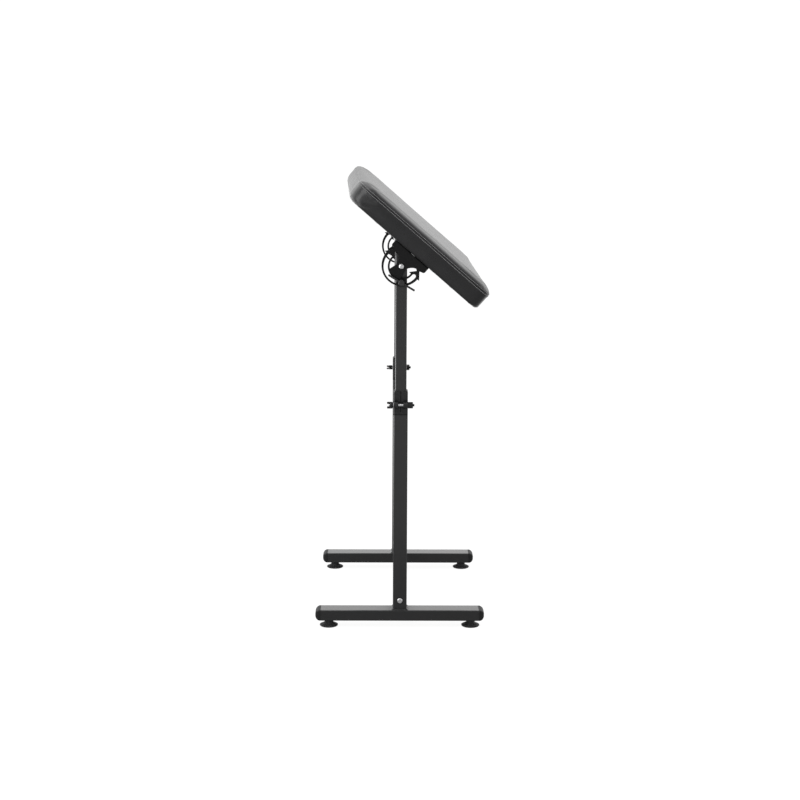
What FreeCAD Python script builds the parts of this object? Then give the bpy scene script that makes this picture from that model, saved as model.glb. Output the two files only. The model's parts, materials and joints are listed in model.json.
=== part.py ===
"""Tattoo arm rest stand: an upholstered pad on two telescopic posts over two foot bars.

Millimetres. +Z is up, X runs across the pad (the way it tilts), Y runs along it.
The origin lies on the floor, midway between the two foot bars. The near side is -Y.
"""
import FreeCAD, Part
import math
import os
import re
import Sketcher
from FreeCAD import Placement, Rotation, Vector

doc = FreeCAD.newDocument("ArmRestStand")
sheet = doc.addObject("Spreadsheet::Sheet", "Sizes")

# Driving dimensions
SIZES = {
    # Foot bars, their end caps and suction feet
    "stand_spread": 520,
    "bar_length": 400,
    "bar_depth": 45,
    "bar_height": 28,
    "bar_wall": 1.5,
    "bar_corner": 3,
    "bar_lift": 18,
    "end_cap_reach": 14,
    "end_cap_plug": 12,
    "end_cap_round": 11.5,
    "insert_gap": 2.5,
    "cup_diameter": 46,
    "cup_neck": 21,
    "cup_lip": 2,
    "cup_neck_height": 1.5,
    "cup_flare_end": 4.6,
    "cup_flare_radius": 10,
    "cup_floor": 3.5,
    "cup_hollow": 4,
    "stud_diameter": 6,
    # Lower posts and the beam between them
    "post_wall": 1.5,
    "post_corner": 3,
    "post_height": 502,
    "weld_width": 4,
    "weld_depth": 1.5,
    "weld_rise": 3.5,
    "beam_size": 30,
    "beam_wall": 1.5,
    "beam_corner": 2.5,
    "beam_rise": 6,
    "beam_plug": 12,
    # Clamp collars
    "collar_height": 60,
    "collar_top_round": 2.5,
    "neck_height": 2.5,
    "neck_inset": 1,
    "spigot_length": 40,
    "spigot_wall": 1.75,
    "slit_width": 2,
    "slit_foot": 8,
    "ear_gap": 12,
    "ear_reach": 8,
    "ear_radius": 8,
    "ear_level": 27,
    "clamp_bolt_diameter": 6,
    "clamp_bolt_end": 3,
    "clamp_washer_diameter": 12,
    "clamp_washer_thickness": 1.2,
    "clamp_head_flats": 10,
    "clamp_head_height": 4,
    "clamp_cap_flats": 14,
    "clamp_cap_length": 12.5,
    "clamp_cap_chamfer": 1,
    "clamp_nub_length": 3.5,
    "clamp_nub_diameter": 6,
    "wing_hub_diameter": 12,
    "wing_hub_length": 8,
    "wing_span": 22,
    "wing_width": 5.4,
    "wing_root": 1.5,
    "wing_thickness": 2.5,
    "wing_overhang": 7.5,
    "wing_angle": 32,
    # Upper tubes
    "tube_size": 28,
    "tube_wall": 1.5,
    "tube_corner": 2.5,
    "tube_length": 596,
    "tube_insertion": 196,
    "tube_above_pivot": 31,
    "glide_height": 25,
    "glide_floor": 3,
    "plug_head": 2.5,
    "plug_chamfer": 1,
    "plug_depth": 15,
    # Tilt plates, pivots and lock screws
    "tilt_angle": 41,
    "top_clearance": 1.3,
    "plate_thickness": 3,
    "spacer_thickness": 1,
    "spacer_diameter": 18,
    "plate_half_width": 53,
    "plate_corner": 6,
    "shoulder_level": 21.5,
    "strut_top": 41.3,
    "strut_level": 19.3,
    "barb_length": 5.5,
    "barb_level": 1.5,
    "rim_wall": 6.8,
    "rim_rise": 2.4,
    "slot_radius": 38.5,
    "slot_play": 1,
    "slot_over": 1.5,
    "window_wall": 4.8,
    "window_foot": 17.7,
    "waist_half_width": 12.1,
    "waist_drop": 1.3,
    "window_top": 30.4,
    "window_top_level": 19,
    "window_shoulder": 35.3,
    "window_shoulder_level": 16,
    "window_arch": 30,
    "barb_ledge": 5.86,
    "flange_depth": 40,
    "screw_diameter": 8,
    "head_diameter": 14,
    "head_height": 4.4,
    "head_rim": 1,
    "thread_end": 2,
    "socket_flats": 5,
    "socket_depth": 2.6,
    "nut_flats": 13,
    "nut_height": 8,
    "washer_diameter": 20,
    "washer_thickness": 1.6,
    "insert_wall": 1.5,
    "insert_depth": 12,
    "insert_lip": 1,
    "insert_flange_thickness": 0.8,
    "boss_diameter": 15,
    "boss_end": 3.5,
    "boss_round": 1.5,
    "bar_offset": 12,
    "lock_bar_diameter": 5,
    "lock_bar_length": 75,
    "lock_bar_slope": 31,
    # Pad
    "pad_overhang": 40,
    "pad_width": 420,
    "side_height": 47,
    "pad_shoulder": 13,
    "pad_offset": -10,
    "pad_turn": 2.6,
    "pad_corner": 42,
    "pad_crown": 4,
    "side_bow": 2.5,
    "cover_thickness": 1.5,
    "hem_width": 34,
    "board_inset": 8,
    "board_thickness": 12,
    "pad_screw_diameter": 6,
    "pad_screw_head": 11,
    "pad_screw_head_height": 3.6,
    "pad_screw_round": 2.2,
    "pad_screw_reach": 38,
    "pad_screw_inset": 24,
    "tee_flange": 19,
    "tee_barrel": 8,
    "tee_thickness": 1.5,
    "tee_short": 2,
    "staple_crown": 10,
    "staple_leg": 6,
    "staple_wire": 0.9,
    "staple_pitch": 60,
    # Clearances
    "fit_clear": 0.05,
    "slide_clear": 0.15,
    "plug_clear": 0.1,
}
for row, (alias, number) in enumerate(SIZES.items(), start=1):
    sheet.set(f"A{row}", alias)
    sheet.set(f"B{row}", str(number))
    sheet.setAlias(f"B{row}", alias)
doc.recompute()

WORD = re.compile(r"\b(" + "|".join(SIZES) + r")\b")
NEAR = -1
FAR = 1
SIDES = {"near": NEAR, "far": FAR}
OUTWARD = {NEAR: "-Y", FAR: "+Y"}
INWARD = {NEAR: "+Y", FAR: "-Y"}

# Sizes that follow from one another, from the sliding tube outwards and the floor upwards
TUBE_WAY = "(tube_size + 2 * slide_clear)"
SPIGOT = f"({TUBE_WAY} + 2 * spigot_wall)"
POST_BORE = f"({SPIGOT} + 2 * plug_clear)"
POST_SIZE = f"({POST_BORE} + 2 * post_wall)"
NECK = f"({POST_SIZE} - 2 * neck_inset)"
GLIDE = f"({POST_BORE} - 2 * slide_clear)"
CUP_REACH = "(bar_length / 2 - end_cap_plug - insert_gap - insert_lip - insert_wall - stud_diameter / 2)"
CUP_TOP = "(bar_lift - insert_flange_thickness)"
STUD_LENGTH = "(bar_lift + insert_depth - cup_hollow - cup_floor)"
BAR_TOP = "(bar_lift + bar_height)"
BEAM_AXIS = f"({BAR_TOP} + weld_rise + beam_rise + beam_size / 2)"
POST_TOP = f"({BAR_TOP} + post_height)"
COLLAR_TOP = f"({POST_TOP} + collar_height)"
CLAMP_AXIS = f"({POST_TOP} + ear_level)"
CLAMP_DEPTH = f"({POST_SIZE} / 2 + ear_reach)"
TUBE_FOOT = f"({POST_TOP} - tube_insertion)"
TUBE_TOP = f"({TUBE_FOOT} + tube_length)"
PIVOT = f"({TUBE_TOP} - tube_above_pivot)"
LOCK_AXIS = f"({PIVOT} - slot_radius)"
BOSS_LENGTH = "(bar_offset + lock_bar_diameter / 2 + boss_end)"
BOLT_HOLE = "(screw_diameter + 2 * plug_clear)"
SLOT_WIDTH = "(screw_diameter + 2 * slot_play)"
RIM_RADIUS = f"(slot_radius + {SLOT_WIDTH} / 2 + rim_wall)"
WINDOW_RADIUS = f"(slot_radius - {SLOT_WIDTH} / 2 - window_wall)"
PLATE_IN = "(tube_size / 2 + spacer_thickness)"
PLATE_OUT = f"({PLATE_IN} + plate_thickness)"

# The pad's underside above the pivot, where the corner of a tube's top passes under the flange
TUBE_SWEEP = "sqrt((tube_above_pivot + plug_head) ^ 2 + (tube_size / 2) ^ 2)"
PAD_GAP = f"({TUBE_SWEEP} + top_clearance + plate_thickness)"
PAD_LENGTH = "(stand_spread + 2 * pad_overhang)"
BOARD_TOP = f"({PAD_GAP} + cover_thickness + board_thickness)"

# Where the pad's loft has a station: turns of its shoulder in degrees, and shares of the way in over its top
SHOULDER_ANGLES = (30, 60, 90)
CROWN_SHARES = (0.3, 0.6, 0.85)

# How far a cutter runs past each face that it cuts, and how near counts as touching
OVER = 1
TOUCH = 1e-3


def bound(expression):
    """The expression with each size name pointing at its cell."""
    return WORD.sub(r"Sizes.\1", str(expression))


def value(expression):
    """The number that an expression of size names has now."""
    return float(sheet.evalExpression(bound(expression)))


def outward(side, distance):
    """Y of a point that lies the given distance outside a post's axis, on either side."""
    return f"{side} * (stand_spread / 2 + {distance})"


PAD_SCREW_DEPTH = {side: outward(side, f"{PLATE_OUT} - pad_screw_inset") for side in SIDES.values()}


def body(label):
    """A sub-part under its own label, which may hold several separate solids."""
    piece = doc.addObject("PartDesign::Body", label)
    piece.Label = label
    piece.AllowCompound = True
    return piece


def place(feature, at, turn=None):
    """Bind a feature's position, with an optional fixed turn."""
    if turn is not None:
        feature.Placement = Placement(Vector(), turn)
    for axis, expression in zip("xyz", at):
        feature.setExpression(f"Placement.Base.{axis}", bound(expression))


def block(piece, size, at, cut=False):
    """A box of the given size, centred in X and Y on the point, standing on its Z."""
    kind = "PartDesign::SubtractiveBox" if cut else "PartDesign::AdditiveBox"
    feature = piece.newObject(kind, "Block")
    for name, expression in zip(("Length", "Width", "Height"), size):
        feature.setExpression(name, bound(expression))
    place(feature, (f"({at[0]}) - ({size[0]}) / 2", f"({at[1]}) - ({size[1]}) / 2", at[2]))
    return feature


TURNS = {
    "+X": Rotation(Vector(0, 1, 0), 90),
    "-X": Rotation(Vector(0, 1, 0), -90),
    "+Y": Rotation(Vector(1, 0, 0), -90),
    "-Y": Rotation(Vector(1, 0, 0), 90),
    "+Z": Rotation(),
    "-Z": Rotation(Vector(1, 0, 0), 180),
}


def rod(piece, diameter, length, at, axis="+Z", cut=False):
    """A cylinder that starts at the point and runs along the axis; a cut runs past both its ends."""
    kind = "PartDesign::SubtractiveCylinder" if cut else "PartDesign::AdditiveCylinder"
    if cut:
        length = f"{length} + {2 * OVER}"
        at = list(at)
        at["XYZ".index(axis[1])] += f" - {OVER}" if axis[0] == "+" else f" + {OVER}"
    feature = piece.newObject(kind, "Rod")
    feature.setExpression("Radius", bound(f"({diameter}) / 2"))
    feature.setExpression("Height", bound(length))
    place(feature, at, TURNS[axis])
    return feature


def hexagon(piece, flats, length, at, axis="+Z", cut=False):
    """A hexagonal prism, by its width across flats."""
    kind = "PartDesign::SubtractivePrism" if cut else "PartDesign::AdditivePrism"
    feature = piece.newObject(kind, "Hexagon")
    feature.Polygon = 6
    feature.setExpression("Circumradius", bound(f"({flats}) / sqrt(3)"))
    feature.setExpression("Height", bound(length))
    place(feature, at, TURNS[axis])
    return feature


def along(edge, direction):
    """Whether an edge is a straight line in the given direction."""
    if not isinstance(edge.Curve, Part.Line):
        return False
    return edge.Curve.Direction.cross(Vector(*direction)).Length < TOUCH


def lies_at(edge, axis, level):
    """Whether an edge lies in the plane square to the axis at the level."""
    box = edge.BoundBox
    return abs(getattr(box.Center, axis) - level) < TOUCH and getattr(box, f"{axis.upper()}Length") < TOUCH


def soften(piece, radius, chosen, kind="Fillet"):
    """Fillet or chamfer the edges of a body's last feature that the test picks."""
    doc.recompute()
    base = piece.Tip
    names = [f"Edge{i}" for i, edge in enumerate(base.Shape.Edges, start=1) if chosen(edge)]
    feature = piece.newObject(f"PartDesign::{kind}", kind)
    feature.Base = (base, names)
    feature.setExpression("Radius" if kind == "Fillet" else "Size", bound(radius))
    return feature


def plane(piece, role):
    """One of a body's own origin planes."""
    return next(f for f in piece.Origin.OriginFeatures if f.Role == role)


def sketch_on(piece, role):
    sketch = piece.newObject("Sketcher::SketchObject", "Outline")
    sketch.AttachmentSupport = [(plane(piece, role), "")]
    sketch.MapMode = "FlatFace"
    return sketch


def end_at(sketch, geometry, point):
    """Which end of a sketch edge lies at the point."""
    gaps = [(sketch.getPoint(geometry, end) - point).Length for end in (1, 2)]
    return 1 if gaps[0] < gaps[1] else 2


def outline(sketch, corners):
    """Close a loop through corners, each (x, y) or (x, y, radius, bulge).

    With a radius the edge that leaves the corner is an arc of under a half circle, whose centre
    lies to the left of its travel where bulge is +1 and to the right where it is -1.
    """
    points = [Vector(value(c[0]), value(c[1]), 0) for c in corners]
    first = sketch.GeometryCount
    for i, corner in enumerate(corners):
        start = points[i]
        end = points[(i + 1) % len(points)]
        if len(corner) == 2:
            sketch.addGeometry(Part.LineSegment(start, end))
            continue
        radius = value(corner[2])
        chord = end - start
        across = Vector(-chord.y, chord.x, 0).normalize() * corner[3]
        middle = (start + end) / 2
        centre = middle + across * math.sqrt(radius ** 2 - chord.Length ** 2 / 4)
        crest = centre - across * radius
        sketch.addGeometry(Part.Arc(start, crest, end))
    for i, corner in enumerate(corners):
        here = first + i
        before = first + (i - 1) % len(corners)
        head = end_at(sketch, here, points[i])
        tail = end_at(sketch, before, points[i])
        sketch.addConstraint(Sketcher.Constraint("Coincident", before, tail, here, head))
        measures = (("DistanceX", corner[0], points[i].x), ("DistanceY", corner[1], points[i].y))
        for kind, expression, number in measures:
            index = sketch.addConstraint(Sketcher.Constraint(kind, -1, 1, here, head, number))
            sketch.setExpression(f"Constraints[{index}]", bound(expression))
        if len(corner) == 4:
            index = sketch.addConstraint(Sketcher.Constraint("Radius", here, value(corner[2])))
            sketch.setExpression(f"Constraints[{index}]", bound(corner[2]))


def turned(piece, corners):
    """A solid of revolution about the body's Z, from (radius, height) corners."""
    sketch = sketch_on(piece, "XZ_Plane")
    outline(sketch, corners)
    feature = piece.newObject("PartDesign::Revolution", "Turned")
    feature.Profile = sketch
    feature.ReferenceAxis = (sketch, ["V_Axis"])
    feature.Angle = 360
    return feature


def tube(label, size, wall, corner, at, axis):
    """A welded box section along the axis: rounded outside, with an even wall."""
    piece = body(label)
    block(piece, size, at)
    run = "XYZ".index(axis)
    soften(piece, corner, lambda edge: along(edge, [i == run for i in range(3)]))
    bore = [part if i == run else f"{part} - 2 * {wall}" for i, part in enumerate(size)]
    block(piece, bore, (at[0], at[1], at[2] if run == 2 else f"{at[2]} + {wall}"), cut=True)
    return piece


def on_pad(piece):
    """Seat a piece that is drawn level about the pivot at the pad's tilt and height."""
    piece.Placement = Placement(Vector(), Rotation(Vector(0, 1, 0), value("tilt_angle")))
    piece.setExpression("Placement.Rotation.Angle", bound("tilt_angle"))
    piece.setExpression("Placement.Base.z", bound(PIVOT))
    return piece


def insert(piece, diameter, at, axis):
    """A threaded insert: its flange on the face at the point, its barrel run in along the axis."""
    barrel = f"{diameter} + 2 * insert_wall"
    outside = {"+": "-", "-": "+"}[axis[0]] + axis[1]
    rod(piece, barrel, "insert_depth", at, axis)
    rod(piece, f"{barrel} + 2 * insert_lip", "insert_flange_thickness", at, outside)
    rod(piece, f"{diameter} + 2 * fit_clear", "insert_depth", at, axis, cut=True)


def feet():
    """Foot bars with their end caps, suction feet, studs and threaded inserts."""
    studs = body("foot_studs")
    inserts = body("foot_inserts")
    for name, side in SIDES.items():
        depth = outward(side, 0)
        bar = tube(f"foot_bar_{name}", ("bar_length", "bar_depth", "bar_height"), "bar_wall", "bar_corner",
                   ("0", depth, "bar_lift"), "X")
        for hand, sign in (("left", -1), ("right", 1)):
            across = f"{sign} * {CUP_REACH}"
            under = (across, depth, "bar_lift")
            rod(bar, "stud_diameter + 2 * insert_wall + 2 * fit_clear", "bar_wall", under, cut=True)
            end_cap(f"end_cap_{name}_{hand}", sign, depth)
            suction_foot(f"suction_foot_{name}_{hand}", (across, depth, "0"))
            rod(studs, "stud_diameter", STUD_LENGTH, (across, depth, "cup_hollow + cup_floor"))
            insert(inserts, "stud_diameter", under, "+Z")


def end_cap(label, sign, depth):
    """A plastic cap with a domed nose and a plug that fits in the bar."""
    piece = body(label)
    block(piece, ("end_cap_reach", "bar_depth", "bar_height"),
          (f"{sign} * (bar_length + end_cap_reach) / 2", depth, "bar_lift"))
    soften(piece, "bar_corner", lambda edge: along(edge, (1, 0, 0)))
    face = sign * value("bar_length / 2 + end_cap_reach")
    soften(piece, "end_cap_round", lambda edge: lies_at(edge, "x", face))
    loose = "2 * bar_wall - 2 * plug_clear"
    block(piece, ("end_cap_plug", f"bar_depth - {loose}", f"bar_height - {loose}"),
          (f"{sign} * (bar_length - end_cap_plug) / 2", depth, "bar_lift + bar_wall + plug_clear"))


def suction_foot(label, at):
    """A rubber cup: straight neck, concave flare, thick lip and a shallow hollow beneath."""
    piece = body(label)
    bore = "stud_diameter / 2 + fit_clear"
    turned(piece, [
        (bore, "cup_hollow + cup_floor"),
        (bore, CUP_TOP),
        ("cup_neck / 2", CUP_TOP),
        ("cup_neck / 2", f"{CUP_TOP} - cup_neck_height", "cup_flare_radius", 1),
        ("cup_diameter / 2 - 2 * cup_lip", "cup_flare_end"),
        ("cup_diameter / 2", "cup_flare_end - cup_lip"),
        ("cup_diameter / 2", "cup_lip / 2"),
        ("cup_diameter / 2 - cup_lip / 2", "0"),
        ("cup_diameter / 2 - 2 * cup_lip", "0"),
        ("stud_diameter", "cup_hollow"),
        ("0", "cup_hollow"),
        ("0", "cup_hollow + cup_floor"),
    ])
    place(piece, at)


def button_bolt(piece, side, seat, height, length):
    """A bolt along Y whose domed socket head bears on a face seat mm outside the post's axis."""
    face = ("0", outward(side, seat), height)
    rod(piece, "screw_diameter", length, face, INWARD[side])
    rod(piece, "head_diameter", "head_height", face, OUTWARD[side])
    crest = side * value(f"stand_spread / 2 + {seat} + head_height")
    soften(piece, "head_height - head_rim", lambda edge: lies_at(edge, "y", crest))
    mouth = ("0", outward(side, f"{seat} + head_height"), height)
    hexagon(piece, "socket_flats", "socket_depth", mouth, INWARD[side], cut=True)


def lower_frame():
    """Lower posts with the weld round each foot, and the beam bolted between them."""
    tube("cross_beam", ("beam_size", f"stand_spread - {POST_SIZE}", "beam_size"), "beam_wall", "beam_corner",
         ("0", "0", f"{BEAM_AXIS} - beam_size / 2"), "Y")
    bolts = body("beam_bolts")
    plugs = body("beam_nut_plugs")
    plug_size = "beam_size - 2 * beam_wall - 2 * plug_clear"
    for name, side in SIDES.items():
        depth = outward(side, 0)
        post = tube(f"lower_post_{name}", (POST_SIZE, POST_SIZE, "post_height"), "post_wall", "post_corner",
                    ("0", depth, BAR_TOP), "Z")
        weld(post, depth)
        face = ("0", outward(side, f"{POST_SIZE} / 2"), BEAM_AXIS)
        rod(post, BOLT_HOLE, POST_SIZE, face, INWARD[side], cut=True)
        button_bolt(bolts, side, f"{POST_SIZE} / 2", BEAM_AXIS, f"{POST_SIZE} + beam_plug")
        block(plugs, (plug_size, "beam_plug", plug_size),
              ("0", outward(side, f"(-{POST_SIZE} - beam_plug) / 2"), f"{BEAM_AXIS} - ({plug_size}) / 2"))
        rod(plugs, "screw_diameter + 2 * fit_clear", "beam_plug",
            ("0", outward(side, f"-{POST_SIZE} / 2"), BEAM_AXIS), INWARD[side], cut=True)


def weld(post, depth):
    """The fillet weld round a post's foot: a low frustum about the post, open over its bore."""
    bead = post.newObject("PartDesign::AdditiveWedge", "Weld")
    half = f"{POST_SIZE} / 2"
    sizes = {
        "Xmin": f"-({half} + weld_width)", "Xmax": f"{half} + weld_width", "X2min": f"-{half}", "X2max": half,
        "Zmin": f"-({half} + weld_depth)", "Zmax": f"{half} + weld_depth", "Z2min": f"-{half}", "Z2max": half,
        "Ymin": "0", "Ymax": "weld_rise",
    }
    for name, expression in sizes.items():
        bead.setExpression(name, bound(expression))
    place(bead, ("0", depth, BAR_TOP), Rotation(Vector(1, 0, 0), 90))
    block(post, (POST_BORE, POST_BORE, "weld_rise"), ("0", depth, BAR_TOP), cut=True)


def collar(label, side):
    """A split plastic collar: a spigot in the post, a neck, a bore for the tube and two clamping ears."""
    depth = outward(side, 0)
    piece = body(label)
    foot = ("0", depth, f"{POST_TOP} + neck_height")
    block(piece, (POST_SIZE, POST_SIZE, "collar_height - neck_height"), foot)
    soften(piece, "post_corner", lambda edge: along(edge, (0, 0, 1)))
    top = value(COLLAR_TOP)
    soften(piece, "collar_top_round", lambda edge: lies_at(edge, "z", top))
    block(piece, (NECK, NECK, "neck_height"), ("0", depth, POST_TOP))
    block(piece, (SPIGOT, SPIGOT, "spigot_length"), ("0", depth, f"{POST_TOP} - spigot_length"))
    ear_width = f"({POST_SIZE} - ear_gap) / 2"
    ear_middle = outward(side, f"({POST_SIZE} + ear_reach - post_corner) / 2")
    for sign in (-1, 1):
        across = f"{sign} * ({POST_SIZE} + ear_gap) / 4"
        block(piece, (ear_width, "ear_reach + post_corner", "2 * ear_radius"),
              (across, ear_middle, f"{CLAMP_AXIS} - ear_radius"))
        rod(piece, "2 * ear_radius", ear_width,
            (f"{across} - {ear_width} / 2", outward(side, CLAMP_DEPTH), CLAMP_AXIS), "+X")
    block(piece, (TUBE_WAY, TUBE_WAY, "collar_height + spigot_length"),
          ("0", depth, f"{POST_TOP} - spigot_length"), cut=True)
    block(piece, ("slit_width", f"{POST_SIZE} / 2", "collar_height - slit_foot"),
          ("0", outward(side, f"{POST_SIZE} / 2"), f"{POST_TOP} + slit_foot"), cut=True)
    rod(piece, "clamp_bolt_diameter + 2 * plug_clear", POST_SIZE,
        (f"-{POST_SIZE} / 2", outward(side, CLAMP_DEPTH), CLAMP_AXIS), "+X", cut=True)


def clamp_screws():
    """Clamp bolts with capped heads on the right, washers and wing nuts on the left."""
    bolts = body("clamp_bolts")
    washers = body("clamp_washers")
    grip = f"{POST_SIZE} + clamp_washer_thickness + wing_hub_length + clamp_bolt_end"
    for name, side in SIDES.items():
        depth = outward(side, CLAMP_DEPTH)
        right = (f"{POST_SIZE} / 2", depth, CLAMP_AXIS)
        left = (f"-{POST_SIZE} / 2", depth, CLAMP_AXIS)
        rod(bolts, "clamp_bolt_diameter", grip, right, "-X")
        hexagon(bolts, "clamp_head_flats", "clamp_head_height", right, "+X")
        clamp_cap(f"clamp_cap_{name}", depth, right)
        rod(washers, "clamp_washer_diameter", "clamp_washer_thickness", left, "-X")
        rod(washers, "clamp_bolt_diameter + 2 * plug_clear", "clamp_washer_thickness", left, "-X", cut=True)
        wing_nut(f"wing_nut_{name}", depth, side)


def clamp_cap(label, depth, face):
    """A plastic cap over a clamp bolt's head, with a nub on its end."""
    piece = body(label)
    hexagon(piece, "clamp_cap_flats", "clamp_cap_length", face, "+X")
    end = f"{POST_SIZE} / 2 + clamp_cap_length"
    tip = value(end)
    soften(piece, "clamp_cap_chamfer", lambda edge: lies_at(edge, "x", tip), "Chamfer")
    rod(piece, "clamp_nub_diameter", "clamp_nub_length", (end, depth, CLAMP_AXIS), "+X")
    hexagon(piece, "clamp_head_flats + 2 * plug_clear", "clamp_head_height + plug_clear", face, "+X",
            cut=True)


def wing_nut(label, depth, side):
    """A wing nut drawn upright: a hub and two wings that stand beside it and reach past its end."""
    piece = body(label)
    rod(piece, "wing_hub_diameter", "wing_hub_length", ("0", "0", "0"))
    tip = "wing_hub_length + wing_overhang"
    inner = "wing_span / 2 - wing_width"
    for sign in (-1, 1):
        sketch = sketch_on(piece, "XZ_Plane")
        outline(sketch, [(f"{sign} * ({x})", z) for x, z in (
            ("wing_hub_diameter / 4", "wing_root"),
            ("wing_span / 2 - wing_root", "wing_root"),
            ("wing_span / 2", "2 * wing_root"),
            ("wing_span / 2", f"{tip} - wing_root"),
            ("wing_span / 2 - wing_root", tip),
            (f"{inner} + wing_root", tip),
            (inner, f"{tip} - wing_root"),
            (inner, "wing_hub_length - wing_root"),
            ("wing_hub_diameter / 4", "wing_hub_length - wing_root"),
        )])
        wing = piece.newObject("PartDesign::Pad", "Wing")
        wing.Profile = sketch
        wing.setExpression("Length", bound("wing_thickness"))
        wing.Midplane = True
    rod(piece, "clamp_bolt_diameter + 2 * fit_clear", "wing_hub_length", ("0", "0", "0"), cut=True)
    spin = Rotation(Vector(0, 0, 1), -side * (90 - value("wing_angle")))
    seat = f"-({POST_SIZE} / 2 + clamp_washer_thickness)"
    place(piece, (seat, depth, CLAMP_AXIS), TURNS["-X"] * spin)


def upper_tubes():
    """The sliding tubes, each with a glide round its foot and a plug in its top."""
    bore = "tube_size - 2 * tube_wall - 2 * plug_clear"
    for name, side in SIDES.items():
        depth = outward(side, 0)
        wall = outward(side, "tube_size / 2")
        section = tube(f"upper_tube_{name}", ("tube_size", "tube_size", "tube_length"), "tube_wall",
                       "tube_corner", ("0", depth, TUBE_FOOT), "Z")
        rod(section, BOLT_HOLE, "tube_size", ("0", wall, PIVOT), INWARD[side], cut=True)
        rod(section, "screw_diameter + 2 * insert_wall + 2 * fit_clear", "tube_wall",
            ("0", wall, LOCK_AXIS), INWARD[side], cut=True)
        glide = body(f"tube_glide_{name}")
        block(glide, (GLIDE, GLIDE, "glide_height"), ("0", depth, f"{TUBE_FOOT} - glide_floor"))
        block(glide, ("tube_size", "tube_size", "glide_height"), ("0", depth, TUBE_FOOT), cut=True)
        plug = body(f"top_plug_{name}")
        block(plug, ("tube_size", "tube_size", "plug_head"), ("0", depth, TUBE_TOP))
        soften(plug, "tube_corner", lambda edge: along(edge, (0, 0, 1)))
        crest = value(f"{TUBE_TOP} + plug_head")
        soften(plug, "plug_chamfer", lambda edge: lies_at(edge, "z", crest), "Chamfer")
        block(plug, (bore, bore, "plug_depth"), ("0", depth, f"{TUBE_TOP} - plug_depth"))


def pivots():
    """The pivot bolts with their spacers, washers and nuts, and the inserts for the lock screws."""
    bolts = body("pivot_bolts")
    spacers = body("pivot_spacers")
    washers = body("pivot_washers")
    nuts = body("pivot_nuts")
    inserts = body("lock_inserts")
    grip = f"{PLATE_OUT} + tube_size / 2 + washer_thickness + nut_height + thread_end"
    for side in SIDES.values():
        wall = ("0", outward(side, "tube_size / 2"), PIVOT)
        inner_wall = ("0", outward(side, "-tube_size / 2"), PIVOT)
        nut_seat = ("0", outward(side, "-tube_size / 2 - washer_thickness"), PIVOT)
        button_bolt(bolts, side, PLATE_OUT, PIVOT, grip)
        rod(spacers, "spacer_diameter", "spacer_thickness", wall, OUTWARD[side])
        rod(spacers, BOLT_HOLE, "spacer_thickness", wall, OUTWARD[side], cut=True)
        rod(washers, "washer_diameter", "washer_thickness", inner_wall, INWARD[side])
        rod(washers, BOLT_HOLE, "washer_thickness", inner_wall, INWARD[side], cut=True)
        hexagon(nuts, "nut_flats", "nut_height", nut_seat, INWARD[side])
        rod(nuts, "screw_diameter + 2 * fit_clear", "nut_height", nut_seat, INWARD[side], cut=True)
        insert(inserts, "screw_diameter", ("0", outward(side, "tube_size / 2"), LOCK_AXIS), INWARD[side])


def lock_screws():
    """Lock screws with a washer and a tommy bar through the boss, drawn with the bar level."""
    centre = ("0", "0", "0")
    reach = f"washer_thickness + {PLATE_OUT} - tube_size / 2 + insert_depth + thread_end"
    for name, side in SIDES.items():
        screw = body(f"lock_screw_{name}")
        rod(screw, "screw_diameter", reach, centre, INWARD[side])
        rod(screw, "boss_diameter", BOSS_LENGTH, centre, OUTWARD[side])
        end = side * value(BOSS_LENGTH)
        soften(screw, "boss_round", lambda edge: lies_at(edge, "y", end))
        level = f"{side} * bar_offset"
        rod(screw, "lock_bar_diameter + 2 * fit_clear", "boss_diameter",
            ("-boss_diameter / 2", level, "0"), "+X", cut=True)
        bar = body(f"lock_bar_{name}")
        rod(bar, "lock_bar_diameter", "lock_bar_length", ("-lock_bar_length / 2", level, "0"), "+X")
        soften(bar, "lock_bar_diameter / 4", lambda edge: edge.BoundBox.XLength < TOUCH)
        washer = body(f"lock_washer_{name}")
        rod(washer, "washer_diameter", "washer_thickness", centre, INWARD[side])
        rod(washer, BOLT_HOLE, "washer_thickness", centre, INWARD[side], cut=True)
        for piece in (screw, bar, washer):
            place(piece, ("0", outward(side, f"{PLATE_OUT} + washer_thickness"), LOCK_AXIS),
                  Rotation(Vector(0, 1, 0), value("lock_bar_slope")))
            piece.setExpression("Placement.Rotation.Angle", bound("lock_bar_slope"))


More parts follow.
